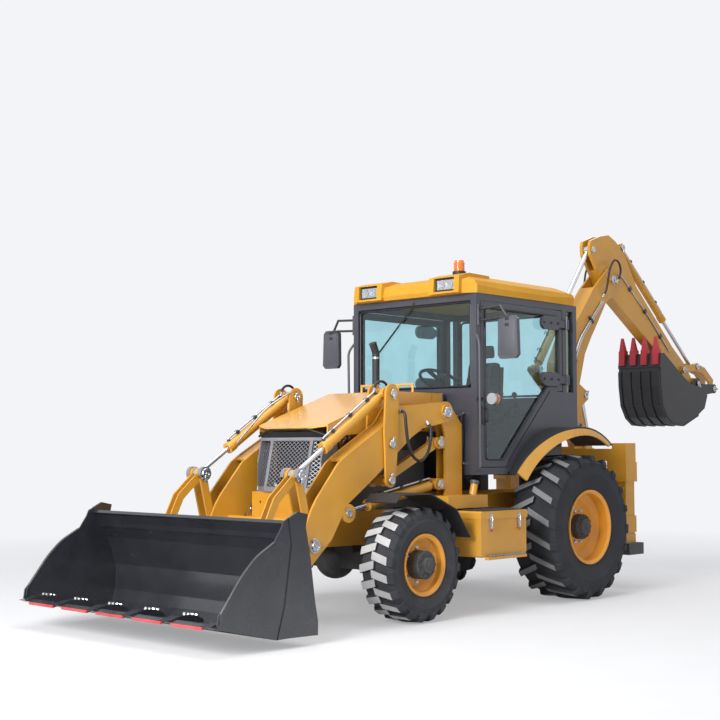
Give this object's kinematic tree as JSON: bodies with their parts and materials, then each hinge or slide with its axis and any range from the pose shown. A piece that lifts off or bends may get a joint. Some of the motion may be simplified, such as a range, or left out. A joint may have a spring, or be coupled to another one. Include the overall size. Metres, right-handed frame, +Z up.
{
  "type": "backhoe loader",
  "caption": "Wheeled backhoe loader: front bucket on level-lift arms, closed cab, side-shift backhoe and two upright stabilizer legs.",
  "frame": {"origin": "on the ground, at the middle of the machine's overall length and width as it stands parked", "axes": "+X forward towards the loader bucket, +Y to the machine's left, +Z up"},
  "size_m": [8.6372, 2.3, 3.6319],
  "materials": {
    "yellow_paint": "glossy, dusty",
    "dark_paint": "semi-gloss",
    "bucket_paint": "semi-gloss, worn edges",
    "black_plastic": "matte grained",
    "grey_metal": "satin",
    "dark_metal": "heat-dulled",
    "lamp_amber": "glossy",
    "seat_fabric": "woven",
    "tinted_glass": "tinted",
    "chrome_rod": "polished",
    "steel_pin": "machined",
    "rim_paint": "glossy",
    "tyre": "dusty rubber"
  },
  "bodies": {
    "machine": {"chassis_frame": "yellow_paint", "loader_posts": "yellow_paint", "engine_block": "grey_metal", "axle_housings": "dark_paint", "cab_frame": "dark_paint", "cab_roof": "yellow_paint", "cab_glass": "tinted_glass", "fenders": "black_plastic", "operator_seat": "seat_fabric", "steering_console": "black_plastic", "side_boxes": "yellow_paint", "radiator_grille": "grey_metal", "rear_frame": "yellow_paint", "lamps": "lamp_amber", "mirrors": "black_plastic", "fender_trim": "yellow_paint"},
    "hood": {"hood": "yellow_paint", "exhaust_stack": "dark_metal"},
    "left_door": {"door_left": "dark_paint", "door_left_glass": "tinted_glass"},
    "right_door": {"door_right": "dark_paint", "door_right_glass": "tinted_glass"},
    "loader_arms": {"loader_arms": "yellow_paint"},
    "tilt_levers": {"tilt_levers": "yellow_paint"},
    "levelling_links": {"levelling_links": "yellow_paint"},
    "lift_barrels": {"lift_barrels": "yellow_paint"},
    "lift_rods": {"lift_rods": "chrome_rod"},
    "tilt_barrels": {"tilt_barrels": "yellow_paint"},
    "tilt_rods": {"tilt_rods": "chrome_rod"},
    "guide_pins": {"guide_pins": "steel_pin"},
    "guide_levers": {"guide_levers": "yellow_paint"},
    "link_pins": {"link_pins": "steel_pin"},
    "bucket_links": {"bucket_links": "yellow_paint"},
    "bucket_pins": {"bucket_pins": "steel_pin"},
    "loader_bucket": {"loader_bucket": "bucket_paint"},
    "boom": {"boom": "yellow_paint", "crowd_barrel": "yellow_paint"},
    "left_knuckle": {"knuckle_left": "dark_paint"},
    "right_knuckle": {"knuckle_right": "dark_paint"},
    "front_left_wheel": {"rim_front_left": "rim_paint", "tyre_front_left": "tyre"},
    "front_right_wheel": {"rim_front_right": "rim_paint", "tyre_front_right": "tyre"},
    "rear_left_wheel": {"rim_rear_left": "rim_paint", "tyre_rear_left": "tyre"},
    "rear_right_wheel": {"rim_rear_right": "rim_paint", "tyre_rear_right": "tyre"},
    "shift_carriage": {"shift_carriage": "yellow_paint"},
    "swing_post": {"swing_post": "yellow_paint"},
    "boom_barrel": {"boom_barrel": "yellow_paint"},
    "boom_rod": {"boom_rod": "chrome_rod"},
    "crowd_rod": {"crowd_rod": "chrome_rod"},
    "dipper": {"dipper": "yellow_paint"},
    "dig_barrel": {"dig_barrel": "yellow_paint"},
    "dig_rod": {"dig_rod": "chrome_rod"},
    "rocker_link": {"rocker_link": "yellow_paint"},
    "dig_link": {"dig_link": "yellow_paint"},
    "dig_bucket": {"dig_bucket": "bucket_paint"},
    "left_stabilizer": {"stabilizer_left": "yellow_paint"},
    "right_stabilizer": {"stabilizer_right": "yellow_paint"}
  },
  "joints": [
    {"name": "loader_lift", "type": "hinge", "parent": "machine", "child": "loader_arms", "pos_m": [1.35, 0, 1.66], "axis": [0, -1, 0], "range_deg": [-1.5, 70]},
    {"name": "tilt_lever_pivot", "type": "hinge", "parent": "loader_arms", "child": "tilt_levers", "pos_m": [2.066, 0, 1.39], "axis": [0, -1, 0], "range_deg": [-64.75, 2.85]},
    {"name": "levelling_link_pivot", "type": "hinge", "parent": "machine", "child": "levelling_links", "pos_m": [1.408, 0, 1.4], "axis": [0, -1, 0], "range_deg": [-3.28, 75.33]},
    {"name": "tilt_barrel_pivot", "type": "hinge", "parent": "tilt_levers", "child": "tilt_barrels", "pos_m": [2.051, 0, 1.797], "axis": [0, -1, 0], "range_deg": [-2.55, 57.41]},
    {"name": "tilt_rod_slide", "type": "slide", "parent": "tilt_barrels", "child": "tilt_rods", "axis": [0.839, 0, -0.5441], "range_m": [-0.1388, 0.2688]},
    {"name": "guide_pin_turn", "type": "hinge", "parent": "loader_arms", "child": "guide_pins", "pos_m": [2.906, 0, 0.625], "axis": [0, -1, 0], "range_deg": [-46.95, 2.12]},
    {"name": "guide_lever_pivot", "type": "hinge", "parent": "guide_pins", "child": "guide_levers", "pos_m": [2.906, 0, 0.625], "axis": [0, -1, 0], "range_deg": [-30.67, 15.88]},
    {"name": "link_pin_turn", "type": "hinge", "parent": "guide_levers", "child": "link_pins", "pos_m": [3.041, 0, 1.155], "axis": [0, -1, 0], "range_deg": [-1.72, 37.21]},
    {"name": "bucket_link_pivot", "type": "hinge", "parent": "link_pins", "child": "bucket_links", "pos_m": [3.041, 0, 1.155], "axis": [0, -1, 0], "range_deg": [-13.63, 26.3]},
    {"name": "bucket_pin_turn", "type": "hinge", "parent": "loader_arms", "child": "bucket_pins", "pos_m": [3.3, 0, 0.245], "axis": [0, -1, 0], "range_deg": [-71.25, 3.11]},
    {"name": "loader_bucket_tilt", "type": "hinge", "parent": "bucket_pins", "child": "loader_bucket", "pos_m": [3.3, 0, 0.245], "axis": [0, 1, 0], "range_deg": [-25, 50]},
    {"name": "lift_barrel_pivot", "type": "hinge", "parent": "machine", "child": "lift_barrels", "pos_m": [1.41, 0, 1.058], "axis": [0, -1, 0], "range_deg": [-2.93, 66.66]},
    {"name": "lift_rod_slide", "type": "slide", "parent": "lift_barrels", "child": "lift_rods", "axis": [0.984, 0, -0.178], "range_m": [-0.0302, 0.7123]},
    {"name": "steer_left", "type": "hinge", "parent": "machine", "child": "left_knuckle", "pos_m": [2.03, 0.72, 0], "axis": [0, 0, 1], "range_deg": [-30, 30]},
    {"name": "steer_right", "type": "hinge", "parent": "machine", "child": "right_knuckle", "pos_m": [2.03, -0.72, 0], "axis": [0, 0, 1], "range_deg": [-30, 30]},
    {"name": "front_left_spin", "type": "hinge", "parent": "left_knuckle", "child": "front_left_wheel", "pos_m": [2.03, 0.83, 0.45], "axis": [0, 1, 0], "continuous": true},
    {"name": "front_right_spin", "type": "hinge", "parent": "right_knuckle", "child": "front_right_wheel", "pos_m": [2.03, -0.83, 0.45], "axis": [0, 1, 0], "continuous": true},
    {"name": "rear_left_spin", "type": "hinge", "parent": "machine", "child": "rear_left_wheel", "pos_m": [-0.17, 0.832, 0.65], "axis": [0, 1, 0], "continuous": true},
    {"name": "rear_right_spin", "type": "hinge", "parent": "machine", "child": "rear_right_wheel", "pos_m": [-0.17, -0.832, 0.65], "axis": [0, 1, 0], "continuous": true},
    {"name": "hood_hinge", "type": "hinge", "parent": "machine", "child": "hood", "pos_m": [2.56, 0, 1.475], "axis": [0, 1, 0], "range_deg": [0, 50]},
    {"name": "left_door_hinge", "type": "hinge", "parent": "machine", "child": "left_door", "pos_m": [-0.27, 0.748, 0], "axis": [0, 0, 1], "range_deg": [0, 80]},
    {"name": "right_door_hinge", "type": "hinge", "parent": "machine", "child": "right_door", "pos_m": [-0.27, -0.748, 0], "axis": [0, 0, -1], "range_deg": [0, 80]},
    {"name": "carriage_shift", "type": "slide", "parent": "machine", "child": "shift_carriage", "axis": [0, -1, 0], "range_m": [-0.37, 0.37]},
    {"name": "swing", "type": "hinge", "parent": "shift_carriage", "child": "swing_post", "pos_m": [-1.5, 0, 0], "axis": [0, 0, 1], "range_deg": [-90, 90]},
    {"name": "boom_raise", "type": "hinge", "parent": "swing_post", "child": "boom", "pos_m": [-1.67, 0, 0.66], "axis": [0, 1, 0], "range_deg": [-75, 1.5]},
    {"name": "boom_barrel_pivot", "type": "hinge", "parent": "swing_post", "child": "boom_barrel", "pos_m": [-2, 0, 0.52], "axis": [0, 1, 0], "range_deg": [-72.33, 3.06]},
    {"name": "boom_rod_slide", "type": "slide", "parent": "boom_barrel", "child": "boom_rod", "axis": [0.2784, 0, 0.9605], "range_m": [-0.4458, 0.0186]},
    {"name": "dipper_crowd", "type": "hinge", "parent": "boom", "child": "dipper", "pos_m": [-2.055, 0, 3.15], "axis": [0, -1, 0], "range_deg": [-50, 34]},
    {"name": "crowd_rod_slide", "type": "slide", "parent": "boom", "child": "crowd_rod", "axis": [-0.5962, 0, 0.8029], "range_m": [-0.3511, 0.2427]},
    {"name": "dig_bucket_curl", "type": "hinge", "parent": "dipper", "child": "dig_bucket", "pos_m": [-3.85, 0, 2.1], "axis": [0, -1, 0], "range_deg": [-95, 0]},
    {"name": "rocker_pivot", "type": "hinge", "parent": "dipper", "child": "rocker_link", "pos_m": [-3.57, 0, 2.25], "axis": [0, -1, 0], "range_deg": [-99.34, 2.14]},
    {"name": "dig_link_pivot", "type": "hinge", "parent": "rocker_link", "child": "dig_link", "pos_m": [-3.89, 0, 2.3], "axis": [0, -1, 0], "range_deg": [-1.64, 73.79]},
    {"name": "dig_barrel_pivot", "type": "hinge", "parent": "dipper", "child": "dig_barrel", "pos_m": [-2.36, 0, 3.53], "axis": [0, -1, 0], "range_deg": [-2.08, 0.24]},
    {"name": "dig_rod_slide", "type": "slide", "parent": "dig_barrel", "child": "dig_rod", "axis": [-0.7794, 0, -0.6266], "range_m": [-0.5106, 0.011]},
    {"name": "left_leg", "type": "slide", "parent": "machine", "child": "left_stabilizer", "axis": [0, 0, -1], "range_m": [0, 0.45]},
    {"name": "right_leg", "type": "slide", "parent": "machine", "child": "right_stabilizer", "axis": [0, 0, -1], "range_m": [0, 0.45]}
  ],
  "couplings": [
    {"joint": "tilt_lever_pivot", "follows": "loader_lift", "ratio": -0.9037},
    {"joint": "levelling_link_pivot", "follows": "loader_lift", "ratio": 1.0518},
    {"joint": "tilt_barrel_pivot", "follows": "loader_lift", "ratio": 0.8009},
    {"joint": "tilt_rod_slide", "follows": "loader_bucket_tilt", "m_per_rad": 0.29794},
    {"joint": "guide_pin_turn", "follows": "loader_lift", "ratio": -0.6545},
    {"joint": "guide_lever_pivot", "follows": "loader_bucket_tilt", "ratio": -0.5916},
    {"joint": "link_pin_turn", "follows": "loader_lift", "ratio": 0.5181},
    {"joint": "bucket_link_pivot", "follows": "loader_bucket_tilt", "ratio": 0.5067},
    {"joint": "bucket_pin_turn", "follows": "loader_lift", "ratio": -0.9947},
    {"joint": "lift_barrel_pivot", "follows": "loader_lift", "ratio": 0.9304},
    {"joint": "lift_rod_slide", "follows": "loader_lift", "m_per_rad": 0.57055},
    {"joint": "steer_right", "follows": "steer_left", "ratio": 1},
    {"joint": "boom_barrel_pivot", "follows": "boom_raise", "ratio": 0.9425},
    {"joint": "boom_rod_slide", "follows": "boom_raise", "m_per_rad": 0.333},
    {"joint": "crowd_rod_slide", "follows": "dipper_crowd", "m_per_rad": 0.38818},
    {"joint": "rocker_pivot", "follows": "dig_bucket_curl", "ratio": 1.0231},
    {"joint": "dig_link_pivot", "follows": "dig_bucket_curl", "ratio": -0.75944},
    {"joint": "dig_barrel_pivot", "follows": "dig_bucket_curl", "ratio": 0.019451},
    {"joint": "dig_rod_slide", "follows": "dig_bucket_curl", "m_per_rad": 0.30134}
  ]
}
